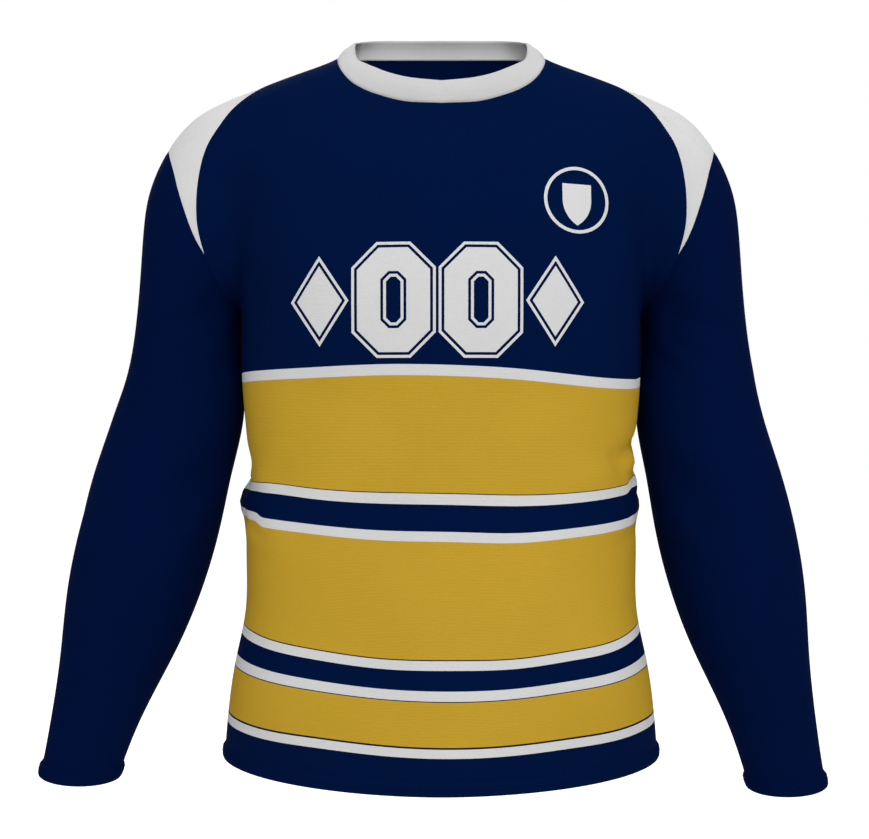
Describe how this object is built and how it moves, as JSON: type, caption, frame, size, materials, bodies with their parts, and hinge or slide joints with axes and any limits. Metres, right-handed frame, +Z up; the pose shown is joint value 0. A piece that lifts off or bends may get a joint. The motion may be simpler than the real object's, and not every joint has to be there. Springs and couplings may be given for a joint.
{
  "type": "long-sleeved sports jersey",
  "caption": "Long-sleeved sports jersey with a stand-up collar, contrasting shoulder inserts and turned-up hem and cuffs, filled out as worn, with no wearer.",
  "frame": {"origin": "midway between the two points where the shoulders meet the neck seam, in the plane of the side seams, where the wearer's shoulders hold the garment up", "axes": "+Z up, the front faces -Y, the wearer's left is +X"},
  "size_m": [0.735, 0.2469, 0.7376],
  "materials": {
    "striped_cloth": "matte knit, navy with gold and white stripes",
    "navy_cloth": "matte knit",
    "white_cloth": "matte knit"
  },
  "bodies": {
    "root": {"front": "striped_cloth", "back": "striped_cloth", "sleeve_left": "navy_cloth", "sleeve_right": "navy_cloth", "shoulder_insert_left": "white_cloth", "shoulder_insert_right": "white_cloth", "collar": "white_cloth"}
  },
  "joints": []
}
